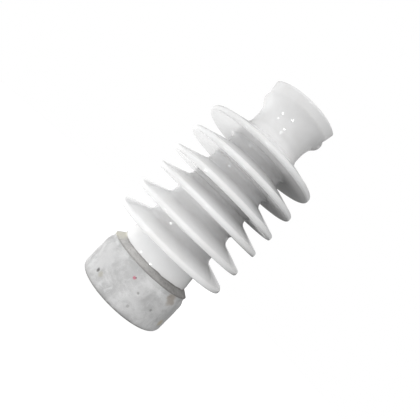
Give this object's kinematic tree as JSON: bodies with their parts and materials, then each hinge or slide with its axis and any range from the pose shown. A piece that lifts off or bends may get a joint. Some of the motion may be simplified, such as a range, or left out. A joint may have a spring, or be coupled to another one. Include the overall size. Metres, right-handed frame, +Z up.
{
  "type": "line post insulator",
  "caption": "Upright glazed porcelain post with equal sheds, a flared tie-top head with a conductor groove, and a tapped galvanised iron base.",
  "frame": {"origin": "centre of the base's flat underside", "axes": "+Z up the post's axis to the head, X along the conductor groove across the head"},
  "size_m": [0.156, 0.156, 0.305],
  "materials": {
    "white_glaze": "glossy white glaze",
    "galvanised_iron": "hot-dip galvanised, weathered, mottled",
    "cement": "rough",
    "moisture_paint": "brushed on, matt",
    "fired_grit": "coarse sanded",
    "bitumen": "satin",
    "cork": "granular"
  },
  "bodies": {
    "root": {"porcelain_body": "white_glaze", "base_casting": "galvanised_iron", "cement_joint": "cement", "fillet_coat": "moisture_paint", "sand_band": "fired_grit", "shank_bitumen": "bitumen", "socket_bitumen": "bitumen", "cushion_disc": "cork"}
  },
  "joints": []
}
